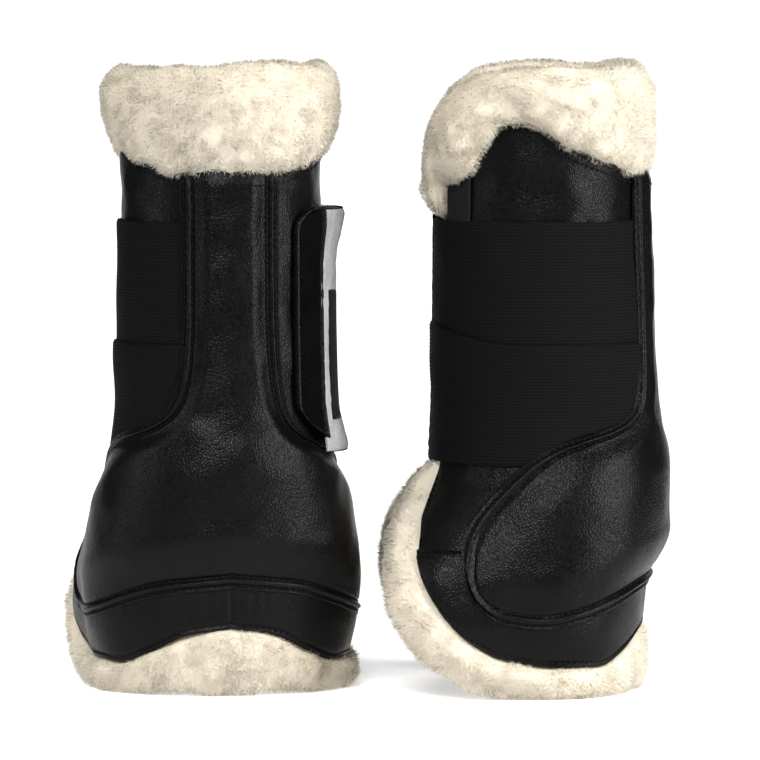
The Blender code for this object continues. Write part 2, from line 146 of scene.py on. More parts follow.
def ramp(x, start, end):
    """0 before start, 1 after end, smooth between."""
    s = np.clip((x - start) / (end - start), 0.0, 1.0)
    return s * s * (3 - 2 * s)


def bump(x, middle, width):
    """A smooth hump of height 1 around middle."""
    return np.exp(-((x - middle) / width) ** 2)


def form(t, z, d):
    """Points at angles t, heights z and offsets d, in a boot's own axes, in millimetres."""
    t, z, d = np.broadcast_arrays(np.asarray(t, float), np.asarray(z, float), np.asarray(d, float))
    angle = np.radians(t)
    at_back = np.cos(angle) > 0
    flap = 1.0 - ramp(z, *FLAP_HEIGHT)
    side = np.sin(angle)
    side = np.where(at_back, side, np.sign(side) * np.abs(side) ** (1.0 - FLAP_SQUARE * flap))
    depth = np.where(at_back, back_depth(z), front_depth(z))
    flare = FLAP_FLARE * flap * ramp(-t, *FLARE_ANGLES)
    return np.stack([(half_width(z) + d) * side - flare, -(depth + d) * np.cos(angle), z], -1)


def unit(v):
    return v / np.maximum(np.linalg.norm(v, axis=-1, keepdims=True), 1e-9)


def run_lengths(path):
    """How far along a path each of its points is."""
    return np.concatenate([[0], np.cumsum(np.linalg.norm(np.diff(path, axis=0), axis=1))])


def waves(seed, size, count=10):
    """A smooth random field over points in millimetres, about -1 to 1, whose lumps are about size across."""
    rng = np.random.default_rng(seed)
    directions = unit(rng.normal(size=(count, 3))) * (2 * math.pi / size) * rng.uniform(0.35, 0.8, (count, 1))
    phases = rng.uniform(0, 2 * math.pi, count)
    return lambda p: np.sin(p @ directions.T + phases).sum(-1) * math.sqrt(2 / count) * 0.7


class Boot:
    """One boot's place in the frame, read from its wings' hinge lines."""

    def __init__(self, name):
        joints = {j["name"]: j for j in frame["joints"]}
        lines = [np.array(joints[f"{name}_{side}_wing_spread"]["pos_m"][:2]) for side in SIDES]
        self.name = name
        self.x_axis = unit(lines[1] - lines[0])
        self.y_axis = np.array([-self.x_axis[1], self.x_axis[0]])
        self.centre = (lines[0] + lines[1]) / 2 - WING_HINGE_Y * MM * self.y_axis

    def world(self, points):
        flat = self.centre + MM * (points[..., :1] * self.x_axis + points[..., 1:2] * self.y_axis)
        return np.concatenate([flat, points[..., 2:] * MM], -1)

    def node(self, name):
        return f"{self.name}_{name}"


# --- meshes ---

def grid_normals(points):
    """Unit normals of a grid of points, along its first axis crossed with its second."""
    return unit(np.cross(np.gradient(points, axis=0), np.gradient(points, axis=1)))


def share_grid(across, up):
    """Shares from 0 to 1 over a grid, along its first axis and its second."""
    return np.meshgrid(np.linspace(0, 1, across), np.linspace(0, 1, up), indexing="ij")


def full_turn(count):
    return np.linspace(0, 2 * math.pi, count, endpoint=False)


def grid_quads(i):
    """Faces over a grid of point numbers."""
    return np.stack([i[:-1, :-1], i[1:, :-1], i[1:, 1:], i[:-1, 1:]], -1).reshape(-1, 4)


def slab(outer, inner):
    """Points and faces of a closed sheet between two grids."""
    across, up = outer.shape[:2]
    i = np.arange(across * up).reshape(across, up)
    starts = np.concatenate([i[:-1, 0], i[-1, :-1], i[:0:-1, -1], i[0, :0:-1]])
    ends = np.concatenate([i[1:, 0], i[-1, 1:], i[-2::-1, -1], i[0, -2::-1]])
    n = across * up
    rim = np.stack([ends, starts, starts + n, ends + n], -1)
    quads = grid_quads(i)
    faces = np.concatenate([quads, quads[:, ::-1] + n, rim])
    normal = grid_normals(outer)[across // 2, up // 2]
    if normal @ (outer - inner)[across // 2, up // 2] < 0:
        faces = faces[:, ::-1]
    return np.concatenate([outer.reshape(-1, 3), inner.reshape(-1, 3)]), [faces]


def roll(rings):
    """Points and faces of a closed tube through rings of points, with its ends capped."""
    along, around = rings.shape[:2]
    i = np.arange(along * around).reshape(along, around)
    j = np.roll(i, -1, axis=1)
    quads = np.stack([i[:-1], i[1:], j[1:], j[:-1]], -1).reshape(-1, 4)
    caps = np.stack([i[0], i[-1][::-1]])
    faces = [quads, caps]
    outwards = rings[along // 2] - rings[along // 2].mean(0)
    normal = np.cross(rings[along // 2 + 1] - rings[along // 2], np.roll(rings[along // 2], -1, axis=0)
                      - rings[along // 2])
    if (normal * outwards).sum() < 0:
        faces = [f[:, ::-1] for f in faces]
    return rings.reshape(-1, 3), faces


def joined(parts):
    """Several (points, faces) joined into one."""
    points, faces, base = [], [], 0
    for p, fs in parts:
        points.append(p)
        faces += [f + base for f in fs]
        base += len(p)
    return np.concatenate(points), faces


def make_mesh(name, points, faces, values=None, normals=None):
    """A mesh from arrays. values are named numbers per point, normals are the points' shading normals."""
    mesh = bpy.data.meshes.new(name)
    loops = np.concatenate([f.ravel() for f in faces]).astype(np.int32)
    sizes = np.concatenate([np.full(len(f), f.shape[1]) for f in faces])
    mesh.vertices.add(len(points))
    mesh.vertices.foreach_set("co", points.astype(np.float32).ravel())
    mesh.loops.add(len(loops))
    mesh.loops.foreach_set("vertex_index", loops)
    mesh.polygons.add(len(sizes))
    mesh.polygons.foreach_set("loop_start", np.concatenate([[0], np.cumsum(sizes)[:-1]]).astype(np.int32))
    mesh.update(calc_edges=True)
    mesh.shade_smooth()
    for key, value in (values or {}).items():
        attribute = mesh.attributes.new(key, "FLOAT", "POINT")
        attribute.data.foreach_set("value", value.astype(np.float32))
    if normals is not None:
        mesh.normals_split_custom_set_from_vertices(normals.astype(np.float32).tolist())
    return mesh


def add_object(name, data):
    thing = bpy.data.objects.new(name, data)
    bpy.context.scene.collection.objects.link(thing)
    return thing


def add_piece(boot, name, points, faces, material, slot, replaces=(), sharp=True, values=None, normals=None):
    """A piece of a boot from points in the boot's own millimetres."""
    turned = None
    if normals is not None:
        turned = unit(boot.world(normals) - boot.world(np.zeros(3)))
    mesh = make_mesh(boot.node(name), boot.world(points), faces, values, turned)
    if sharp:
        mesh.set_sharp_from_angle(angle=math.radians(50))
    mesh.materials.append(material)
    piece = add_object(boot.node(name), mesh)
    if replaces:
        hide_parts(*[boot.node(node) for node in replaces])
    return piece


def bend(boot, piece, first, second, places):
    """Bakes a piece's transform into its mesh."""
    start, end = boot.world(places)
    boot.node(first)
    boot.node(second)
    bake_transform(piece)


def bend_half(boot, piece, side_name):
    """Bakes a half piece's transform into its mesh."""
    bend(boot, piece, "back", f"{side_name}_wing", np.array([[0.0, y, 0.0] for y in WING_BEND]))


def add_half(boot, side_name, name, shape, slot, replaces=(), material=None, **more):
    """A half piece. Its material is its slot's, unless given."""
    material = MATERIALS[material or slot]
    piece = add_piece(boot, f"{side_name}_{name}", *shape, material, slot, replaces, **more)
    bend_half(boot, piece, side_name)
    return piece


# --- materials ---

def grey(tone):
    return (tone, tone, tone, 1)


class Nodes:
    """A short way to write a node tree."""

    def __init__(self, name):
        self.material = bpy.data.materials.new(name)
        self.material.use_nodes = True
        self.tree = self.material.node_tree
        self.shader = self.tree.nodes["Principled BSDF"]

    def add(self, kind, inputs=(), **settings):
        node = self.tree.nodes.new(kind)
        for key, value in settings.items():
            setattr(node, key, value)
        for key, value in dict(inputs).items():
            self.feed(node.inputs[key], value)
        return node

    def feed(self, socket, value):
        if isinstance(value, bpy.types.NodeSocket):
            self.tree.links.new(value, socket)
        else:
            socket.default_value = value

    def set(self, **values):
        for key, value in values.items():
            self.feed(self.shader.inputs[key.replace("_", " ")], value)

    def position(self):
        return self.add("ShaderNodeTexCoord").outputs["Object"]

    def noise(self, scale, detail=3.0, roughness=0.55):
        inputs = {"Vector": self.position(), "Scale": scale, "Detail": detail, "Roughness": roughness}
        return self.add("ShaderNodeTexNoise", inputs).outputs["Fac"]

    def mix(self, factor, a, b):
        node = self.add("ShaderNodeMix", data_type="RGBA")
        self.feed(node.inputs[0], factor)
        self.feed(node.inputs[6], a)
        self.feed(node.inputs[7], b)
        return node.outputs[2]

    def range(self, value, low, high, to_low, to_high):
        inputs = {0: value, 1: low, 2: high, 3: to_low, 4: to_high}
        return self.add("ShaderNodeMapRange", inputs).outputs[0]

    def math(self, operation, a, b=0.0):
        return self.add("ShaderNodeMath", {0: a, 1: b}, operation=operation).outputs[0]

    def bump(self, height, strength, distance, normal=None):
        inputs = {"Strength": strength, "Distance": distance, "Height": height}
        if normal:
            inputs["Normal"] = normal
        return self.add("ShaderNodeBump", inputs).outputs["Normal"]


def leather_material():
    """Black synthetic leather: pebbled grain with painted shade in the grooves between the pebbles, and worn
    a little lighter and smoother in patches.
    """
    n = Nodes("leather")
    where = n.position()
    drift = n.add("ShaderNodeTexNoise", {"Vector": where, "Scale": 520.0, "Detail": 2.0}).outputs["Color"]
    moved = n.add("ShaderNodeVectorMath", {0: drift, 1: (0.0009, 0.0009, 0.0009), 2: where},
                  operation="MULTIPLY_ADD").outputs[0]
    cells = n.add("ShaderNodeTexVoronoi", {"Vector": moved, "Scale": 820.0}, feature="DISTANCE_TO_EDGE")
    pebble = n.range(cells.outputs["Distance"], 0.0, 0.34, 0.0, 1.0)
    fine = n.noise(3400, 2)
    creases = n.noise(95, 4)
    height = n.math("ADD", pebble, n.math("MULTIPLY", fine, 0.22))
    worn = n.range(n.noise(60, 3), 0.35, 0.7, 0.0, 1.0)
    # Painted shade: the grooves between the pebbles are painted darker than the pebbles' tops.
    colour = n.mix(pebble, grey(0.001), (0.0030, 0.0029, 0.0030, 1))
    colour = n.mix(n.math("MULTIPLY", worn, 0.3), colour, (0.0050, 0.0048, 0.0048, 1))
    gloss = n.range(n.math("ADD", n.noise(420, 3), n.math("MULTIPLY", worn, 0.15)), 0.3, 0.8, 0.28, 0.37)
    n.set(Base_Color=colour, Roughness=gloss, Specular_IOR_Level=0.085,
          Normal=n.bump(height, 0.24, 0.0004, n.bump(creases, 0.15, 0.0011)))
    return n.material


def fleece_material():
    """Cream pile that lets light through, painted darker towards the roots as shade deep in the pile, and
    deeper in tone in soft warm patches.
    """
    n = Nodes("fleece")
    height = n.add("ShaderNodeAttribute", attribute_name="pile").outputs["Fac"]
    strand = n.add("ShaderNodeAttribute", attribute_name="strand").outputs["Fac"]
    reach = n.math("ADD", n.math("MULTIPLY", height, 0.7), n.math("MULTIPLY", strand, 0.3))
    # Painted shade: each fibre is painted darker towards its root, where shade falls deep in the pile.
    tone = n.mix(n.range(reach, 0.05, 0.95, 0.0, 1.0), (0.86, 0.795, 0.675, 1), (0.925, 0.88, 0.785, 1))
    warm = n.range(n.noise(38, 3), 0.35, 0.68, 0.0, 0.3)
    colour = n.mix(warm, tone, (0.90, 0.825, 0.69, 1))
    n.set(Base_Color=colour, Roughness=0.92, Sheen_Weight=0.2, Sheen_Roughness=0.5,
          Sheen_Tint=(1.0, 0.97, 0.9, 1), Specular_IOR_Level=0.12,
          Normal=n.bump(n.noise(1500, 4), 0.3, 0.0004))
    through = n.add("ShaderNodeBsdfTranslucent", {"Color": colour})
    both = n.add("ShaderNodeMixShader", {0: 0.5, 1: n.shader.outputs[0], 2: through.outputs[0]})
    n.tree.links.new(both.outputs[0], n.tree.nodes["Material Output"].inputs["Surface"])
    return n.material


def elastic_material():
    """Black ribbed webbing: fine warp lines along the ribs, painted shade in the hollows between them, matte.
    """
    n = Nodes("elastic")
    across = n.add("ShaderNodeAttribute", attribute_name="along").outputs["Fac"]
    weft = n.math("SINE", n.math("MULTIPLY", across, 2 * math.pi / WEFT_PITCH))
    rib = n.add("ShaderNodeAttribute", attribute_name="rib").outputs["Fac"]
    fuzz = n.noise(2600, 3)
    # Painted shade: the webbing is painted darker in the hollows between its ribs.
    tone = n.math("MULTIPLY", n.range(rib, 0, 1, 0.45, 1.0), n.range(fuzz, 0.3, 0.7, 0.75, 1.25))
    colour = n.mix(tone, grey(0.0005), (0.0050, 0.0049, 0.0052, 1))
    n.set(Base_Color=colour, Roughness=0.7, Specular_IOR_Level=0.03,
          Normal=n.bump(n.math("ADD", weft, fuzz), 0.35, 0.00012))
    return n.material


def thread_material():
    """Black sewing thread with a twist and a faint shine."""
    n = Nodes("thread")
    twist = n.add("ShaderNodeTexWave", {"Vector": n.position(), "Scale": 1300.0, "Distortion": 2.0})
    colour = n.mix(twist.outputs["Fac"], grey(0.0006), (0.0045, 0.0044, 0.0044, 1))
    n.set(Base_Color=colour, Roughness=0.5, Specular_IOR_Level=0.1,
          Normal=n.bump(twist.outputs["Fac"], 0.5, 0.0001))
    return n.material


def felt_material(name, dark, light, scale=900, strength=0.6, sheen=0.01, shine=0.06):
    """A brushed or felted cloth between two tones."""
    n = Nodes(name)
    fibres = n.noise(scale, 5, 0.7)
    patches = n.noise(scale / 12, 3)
    colour = n.mix(n.range(n.math("ADD", fibres, n.math("MULTIPLY", patches, 0.5)), 0.5, 1.0, 0.0, 1.0),
                   dark, light)
    n.set(Base_Color=colour, Roughness=0.95, Sheen_Weight=sheen, Specular_IOR_Level=shine,
          Normal=n.bump(fibres, strength, 0.0004))
    return n.material


def rubber_material(name, tone):
    """Soft moulded rubber, finely textured."""
    n = Nodes(name)
    speckle = n.noise(2400, 3)
    colour = n.mix(n.range(speckle, 0.3, 0.7, 0.0, 1.0), (*[c * 0.7 for c in tone], 1), (*tone, 1))
    n.set(Base_Color=colour, Roughness=n.range(speckle, 0.3, 0.7, 0.5, 0.66), Specular_IOR_Level=0.08,
          Normal=n.bump(speckle, 0.25, 0.0002))
    return n.material


def label_material():
    """Woven satin, blank."""
    n = Nodes("label")
    weave = n.add("ShaderNodeTexWave", {"Vector": n.position(), "Scale": 1100.0}, bands_direction="Z")
    colour = n.mix(weave.outputs["Fac"], (0.002, 0.002, 0.0022, 1), (0.010, 0.010, 0.0105, 1))
    n.set(Base_Color=colour, Roughness=0.6, Specular_IOR_Level=0.08,
          Normal=n.bump(weave.outputs["Fac"], 0.4, 0.0002))
    return n.material


MATERIALS = {
    "leather": leather_material(),
    "fleece": fleece_material(),
    "elastic": elastic_material(),
    "thread": thread_material(),
    # The tab's felt: grey cloth painted lighter, partly a painted reflection of the bright backdrop seen at a
    # grazing angle.
    "plush": felt_material("plush", (0.18, 0.18, 0.184, 1), (0.33, 0.33, 0.335, 1), 1100),
    "loop": felt_material("loop", grey(0.0004), grey(0.003), 1300, 0.9, 0.0, 0.02),
    "hook": felt_material("hook", grey(0.001), grey(0.006), 1900, 0.9, 0.0, 0.03),
    "badge": rubber_material("badge", (0.003, 0.003, 0.003)),
    "plate": rubber_material("plate", (0.05, 0.05, 0.055)),
    "foam": rubber_material("foam", (0.10, 0.10, 0.11)),
    "label": label_material(),
}


# --- leather ---

def shell_half(boot, side_name):
    """The leather body of a half, from under the strike cover to the front edge."""
    side = SIDES[side_name]
    u, v = share_grid(90, 130)
    low = leather_bottom(156 * u) + 1.2
    high = collar_low(160 * u) + 4.0
    z = low + (high - low) * v
    a = leather_front(z) * u
    at = form(side * a, z, 0.0)
    soft = 0.3 * waves(11, 16)(at) + 0.14 * waves(12, 7)(at)
    above = ramp(z, 178, 190) * ramp(a, 60, 95)
    creases = above * 0.28 * waves(13 + side, 14)(at * np.array([1.0, 1.0, 1.6]))
    rim = 0.7 * (1 - ramp((1 - u) * 110, 0.0, 1.2))
    row = 0.35 * bump((1 - u) * 110, 2.4, 0.5) * (1 - ramp(z, 80, 90))
    tuck = 2.5 * ramp(z - collar_low(a), 0.0, 4.0)
    lift = soft * ramp(v, 0.0, 0.03) + creases - rim - row - tuck
    shape = slab(form(side * a, z, lift), form(side * a, z, lift - 1.6))
    add_half(boot, side_name, "shell_skin", shape, "leather", ["back_shell", f"{side_name}_shell"])


def band_top(a):
    """The upper edge of the bottom band: under the cup, then up to a level cross seam at the front."""
    under_cup = cup_low(np.minimum(a, 95)) + 3.0
    return under_cup + (57.0 - under_cup) * ramp(a, 93, 111)


def band_half(boot, side_name):
    """The band of leather along the bottom edge, puckered a little at the middle of the back."""
    side = SIDES[side_name]
    u, v = share_grid(150, 36)
    a = 153.5 * u
    low, high = leather_bottom(a), band_top(a)
    z = low + (high - low) * v
    at = form(side * a, z, 0.0)
    from_edge = z - low
    pucker = 0.3 * np.sin(a * 1.15 + 0.4 * side) * bump(a, 8, 8) * bump(z, 37, 5)
    pucker = pucker - 0.45 * bump(a, 0, 0.9) + 0.2 * bump(a, 2.2, 1.2)
    soft = 0.3 * waves(21, 12)(at)
    rim = 0.9 * (1 - ramp(from_edge, 0.0, 1.0)) + 0.5 * (1 - ramp(high - z, 0.0, 0.8))
    row = 0.6 * bump(from_edge, 2.2, 0.6)
    front = 0.9 * (1 - ramp((1 - u) * 130, 0.0, 1.2))
    lift = 1.4 + pucker + soft - rim - row - front
    shape = slab(form(side * a, z, lift), form(side * a, z, np.minimum(0.35, lift - 0.4)))
    add_half(boot, side_name, "bottom_band", shape, "leather", ["lower_band"])


def cover_grid(side, u, centre_height):
    """Angle and height on the strike cover: u runs from the middle of the back to the outline."""
    a = cover_edge_angle(centre_height) * u
    outline = cover_edge_height(centre_height)
    outline = outline - (side > 0) * LATERAL_DROP * ramp(outline, 52, 75) * (1 - ramp(outline, 104, 140))
    z = centre_height + (outline - centre_height) * u**2
    seam = cup_low(COVER_ROWS[0][1] * u)
    straight = COVER_LOW + (COVER_ROWS[0][2] - COVER_LOW) * u**2
    fade = np.clip(1 - (centre_height - COVER_LOW) / 40, 0, 1) ** 2
    return a, z + (seam - straight) * fade


def cover_lift(u, a, z, centre_height):
    """How far the cover stands off the leather: a flat sewn rim with two rows, then the padding."""
    across = (1 - u) * np.radians(cover_edge_angle(centre_height)) * (half_width(z) + 3)
    over_seam = (z - cup_low(a)) * (1 + 0 * u)
    blunt = 2.2
    inside = -blunt * np.log(np.exp(-across / blunt) + np.exp(-over_seam / blunt))
    inside = np.maximum(np.minimum(inside, np.minimum(across, over_seam)), 0.0)
    cup = 1 - ramp(z, 84, 114)
    full = 4.3 * (1 - cup) + cup * (8.0 - 3.2 * ramp(a, 30, 92))
    reach = 7.0 * (1 - cup) + 17.0 * cup
    swell = (full - 2.3) * ramp(inside - 5.9, 0.0, reach) ** (1 - 0.25 * cup)
    rim = 1.25 + 1.15 * np.sqrt(np.clip(inside / 0.9, 0, 1))
    rows = sum(0.95 * bump(inside, row, 0.8) for row in SEAM_ROWS)
    ridge = 0.55 * bump(inside, 3.5, 1.0)
    top = 1 - 0.55 * ramp(z, 196, 205)
    return (rim - rows + ridge + swell) * top


def cover_half(boot, side_name):
    """The padded strike panel and fetlock cup, sewn down all round."""
    side = SIDES[side_name]
    along = np.linspace(0, 1, 260)
    steps = 1 - (1 - np.linspace(0, 1, 92)) ** 1.25
    u, v = np.meshgrid(steps, along, indexing="ij")
    centre_height = COVER_LOW + (COVER_HIGH - COVER_LOW) * v**1.3
    a, z = cover_grid(side, u, centre_height)
    lift = cover_lift(u, a, z, centre_height)
    at = form(side * a, z, 0.0)
    padded = ramp(lift, 2.2, 4.0)
    lift = lift + padded * (0.32 * waves(31, 22)(at) + 0.12 * waves(32, 8)(at))
    lift = lift + 0.35 * padded * bump(z - 100 - 0.35 * a, 0, 6) * waves(33, 11)(at)
    shape = slab(form(side * a, z, lift), form(side * a, z, np.maximum(lift - 1.3, 0.5)))
    nodes = ["strike_cover", f"{side_name}_cup"]
    piece = add_half(boot, side_name, "strike_cover", shape, "leather", nodes)


def collar_shade_roll(boot, side_name):
    """A thin roll of black leather under the collar's lower edge, put there to stand in for the shade that
    falls under the collar.
    """
    side = SIDES[side_name]
    a = np.linspace(0, 156, 150)
    turn = full_turn(12)
    centre_z = collar_low(a)[:, None] - 0.6 + 0 * turn
    rings = form(side * a[:, None], centre_z + 1.2 * np.sin(turn), 0.5 + 1.0 * np.cos(turn))
    add_half(boot, side_name, "collar_shade_roll", roll(rings), "leather")


# --- stitching ---

def capsule():
    """One stitch of unit length along x, unit radius across."""
    stations = ((-0.5, 0.25), (-0.36, 0.85), (0.0, 1.0), (0.36, 0.85), (0.5, 0.25))
    turn = full_turn(6)
    return roll(np.array([[(x, r * math.cos(q), r * math.sin(q)) for q in turn] for x, r in stations]))


def stitches(path, normals, tilt=0.0, size=STITCH):
    """Stitches along a path of points, lying on the surface whose normals are given."""
    pitch, length, radius = size
    lengths = run_lengths(path)
    marks = np.arange(pitch / 2, lengths[-1], pitch)

    def at(values, ahead=0.0):
        return np.stack([np.interp(marks + ahead, lengths, values[:, k]) for k in range(3)], -1)

    here, normal = at(path), unit(at(normals))
    along = unit(at(path, 0.4) - at(path, -0.4))
    along = unit(along + tilt * unit(np.cross(normal, along)))
    across = unit(np.cross(normal, along))
    template, faces = capsule()
    scaled = template * np.array([length, radius, radius])
    points = (here[:, None] + scaled[None, :, :1] * along[:, None] + scaled[None, :, 1:2] * across[:, None]
              + scaled[None, :, 2:] * normal[:, None])
    count = len(template)
    offsets = (np.arange(len(marks)) * count)[:, None, None]
    return points.reshape(-1, 3), [(f[None] + offsets).reshape(-1, f.shape[1]) for f in faces]


def row_on_form(side, a, z, d):
    path = form(side * a, z, d)
    return stitches(path, form(side * a, z, d + 1.0) - path)


def cover_row(side, inset, from_height, to_height):
    """A row of stitches at a distance inside the strike cover's outline."""
    centre_height = np.linspace(from_height, to_height, 400)
    length = np.radians(cover_edge_angle(centre_height)) * (half_width(cover_edge_height(centre_height)) + 3)
    u = 1 - inset / length
    a, z = cover_grid(side, u, centre_height)
    z = np.maximum(z, cup_low(a) + inset)
    return row_on_form(side, a, z, cover_lift(u, a, z, centre_height) + 0.2)


def seam_row(side, inset):
    """A row of stitches just above the cup's bottom seam."""
    a = np.linspace(0, 121 - inset, 400)
    z = cup_low(a) + inset
    return row_on_form(side, a, z, 1.75 + 0 * a)


def stitching_half(boot, side_name):
    side = SIDES[side_name]
    rows = [cover_row(side, inset, 47 + inset, 203) for inset in SEAM_ROWS]
    rows += [seam_row(side, inset) for inset in SEAM_ROWS]
    a = np.linspace(0, 151, 400)
    rows.append(row_on_form(side, a, leather_bottom(a) + 2.2, 1.05 + 0 * a))
    z = np.linspace(60, 84, 80)
    rows.append(row_on_form(side, leather_front(z) - 3.0, z, 0.1 + 0 * z))
    a = np.linspace(124, 150, 80)
    rows.append(row_on_form(side, a, band_top(a) - 1.6, 1.45 + 0 * a))
    a = np.linspace(2, 120, 300)
    rows.append(row_on_form(side, a, collar_low(a) - 4.2, 0.3 + 4.1 * (1 - ramp(a, 12, 26))))
    add_half(boot, side_name, "stitching", joined(rows), "leather", material="thread", sharp=False)


# --- fleece ---

def bilinear(grid, i, j, u, v):
    u, v = u[:, None], v[:, None]
    return ((1 - u) * (1 - v) * grid[i, j] + u * (1 - v) * grid[i + 1, j]
            + (1 - u) * v * grid[i, j + 1] + u * v * grid[i + 1, j + 1])


def pile(surface, normals, flow, density, length, seed):
    """Tapered fibres standing on a grid, combed along flow and gathered into tufts.

    Returns points, faces, each point's share of the fibre's height, each point's own tone, and normals.
    """
    rng = np.random.default_rng(seed)
    diagonals = np.cross(surface[1:, 1:] - surface[:-1, :-1], surface[:-1, 1:] - surface[1:, :-1])
    area = 0.5 * np.linalg.norm(diagonals, axis=-1)
    counts = rng.poisson(area * density[:-1, :-1])
    i, j = (np.repeat(k.ravel(), counts.ravel()) for k in np.indices(area.shape))
    u, v = rng.random(len(i)), rng.random(len(i))
    foot = bilinear(surface, i, j, u, v)
    normal = unit(bilinear(normals, i, j, u, v))
    comb = bilinear(flow, i, j, u, v)
    size = bilinear(length[..., None], i, j, u, v) * rng.uniform(0.7, 1.25, (len(i), 1))
    tuft = np.stack([waves(seed + 50 + k, 6.5)(foot) for k in range(3)], -1)
    curl = np.stack([waves(seed + 60 + k, 3.0)(foot) for k in range(3)], -1)
    jitter = rng.normal(size=foot.shape)
    first = unit(normal * 0.85 + comb * 0.55 + tuft * 0.26 + jitter * 0.2)
    second = unit(first + comb * 0.4 + tuft * 0.32 + curl * 0.42 + jitter * 0.16)
    root = foot - normal * 0.9
    middle = root + first * size * 0.6
    tip = middle + second * size * 0.4
    level = unit(np.cross(first, normal))
    turn = rng.normal(0.0, 0.5, (len(i), 1))
    blade = (level * np.cos(turn) + np.cross(first, level) * np.sin(turn)) * PILE_WIDTH / 2
    points = np.stack([root - blade, root + blade, middle + blade * 0.8, middle - blade * 0.8, tip], 1)
    base = (np.arange(len(i)) * 5)[:, None]
    faces = [base + np.array([0, 1, 2, 3]), base + np.array([3, 2, 4])]
    heights = np.tile([0.0, 0.0, 0.6, 0.6, 1.0], len(i))
    own = 0.5 + 0.32 * waves(seed + 70, 2.2)(foot) + rng.normal(0.0, 0.22, len(i))
    tones = np.repeat(np.clip(own, 0.0, 1.0), 5)
    shading = unit(normal + 0.1 * tuft + 0.14 * jitter)
    return points.reshape(-1, 3), faces, heights, tones, np.repeat(shading, 5, axis=0)


def facing(surface, outwards):
    """Unit normals of a grid, on the side that outwards points to."""
    normals = grid_normals(surface)
    return normals * np.sign((normals * outwards).sum())


def add_fleece(boot, side_name, name, surface, normals, base, flow, density, length, seed, replaces):
    """A half's fleece: its knitted base, given as (points, faces), with the pile standing on surface."""
    points, faces, heights, tones, shading = pile(surface, normals, flow, density, length, seed)
    points[:, 2] = np.maximum(points[:, 2], 0.15)
    ground = base[0].copy()
    ground[:, 2] = np.maximum(ground[:, 2], 0.15)
    base_normals = vertex_normals(ground, base[1])
    values = {"pile": np.concatenate([np.full(len(ground), 0.45), heights]),
              "strand": np.concatenate([np.full(len(ground), 0.4), tones])}
    piece = add_half(boot, side_name, name, joined([(ground, base[1]), (points, faces)]), "fleece",
                     replaces, sharp=False, values=values, normals=np.concatenate([base_normals, shading]))


def vertex_normals(points, faces):
    """Area-weighted normals of points on faces."""
    total = np.zeros_like(points)
    for f in faces:
        corner = points[f]
        normal = np.cross(corner[:, 1] - corner[:, 0], corner[:, 2] - corner[:, 0])
        if f.shape[1] > 3:
            normal = np.cross(corner[:, 2] - corner[:, 0], corner[:, 3] - corner[:, 1])
        for k in range(f.shape[1]):
            np.add.at(total, f[:, k], normal)
    return unit(total)


def round_section(turn, power):
    """A full, slightly boxy closed section: across and up, each -1 to 1."""
    c, s = np.cos(turn), np.sin(turn)
    return np.sign(c) * np.abs(c) ** power, np.sign(s) * np.abs(s) ** power


def clumped(surface, normals, seed):
    """The surface with the soft lumps that the pile gathers into."""
    lumps = 0.38 * waves(seed, 8.5)(surface) + 0.16 * waves(seed + 1, 3.6)(surface)
    return surface + normals * lumps[..., None]


def collar_half(boot, side_name):
    """The fleece collar: a deep roll over the top edge, closing round the front."""
    side = SIDES[side_name]
    a = np.concatenate([np.linspace(0, 158, 110), 158 + 10.5 * np.sin(np.linspace(0.12, math.pi / 2, 12))])
    turn = full_turn(72)
    across, up = round_section(turn, np.where(np.sin(turn) > 0, 0.95, 0.72))
    corner_drop = 12.0 * ramp(a, 152, 158)
    low, high = (collar_low(a) - 0.6 - corner_drop)[:, None], collar_top(a)[:, None]
    high = high + 0.8 * waves(75, 24)(form(side * a, 240.0, 0.0))[:, None] - 0.3
    front = ramp(a, 112, 138)[:, None]
    closing = np.sqrt(np.clip(1 - ((a - 157) / 12.2).clip(0) ** 2, 0.03, 1))[:, None]
    middle_d = -2.3
    spread = (side < 0) * 5.0 * bump(a, 128, 16)[:, None] * (1 - ramp(up, -0.2, 0.9))
    d = middle_d + across * (8.0 + (2.6 * front + spread) * (across > 0)) * closing
    z = (low + high) / 2 + up * (high - low) / 2 * (0.35 + 0.65 * closing)
    rings = form(side * a[:, None], z, d)
    surface = np.concatenate([rings, rings[:, :1]], 1)
    outwards = surface - form(side * a[:, None], (low + high) / 2, middle_d)
    normals = facing(surface, outwards)
    surface = clumped(surface, normals, 71)
    around = list(range(len(turn))) + [0]
    down = np.zeros_like(surface)
    down[..., 2] = -0.6 * (ramp(across, -0.3, 0.6) * ramp(up, -1.0, -0.6))[around]
    outer = ramp(across, -0.6, 0.1)[around]
    density = np.ones(surface.shape[:2]) * (1.3 + 4.7 * outer)
    length = np.ones(surface.shape[:2]) * (3.0 - 0.4 * ramp(up, -0.98, -0.6))[around]
    add_fleece(boot, side_name, "collar_roll", surface, normals, roll(surface[:, :-1]), down, density,
               length, 700 + side, ["back_collar", f"{side_name}_collar"])


def leather_outline():
    """The leather's free edge, from the middle of the back round the bottom and up the front."""
    bottom = np.linspace(0, 150, 300)
    front = np.linspace(56, 199, 200)
    a = np.concatenate([bottom, leather_front(front)])
    z = np.concatenate([leather_bottom(bottom), front])
    lengths = run_lengths(form(a, z, 0.0))
    marks = np.linspace(0, lengths[-1], 190)
    return np.interp(marks, lengths, a), np.interp(marks, lengths, z)


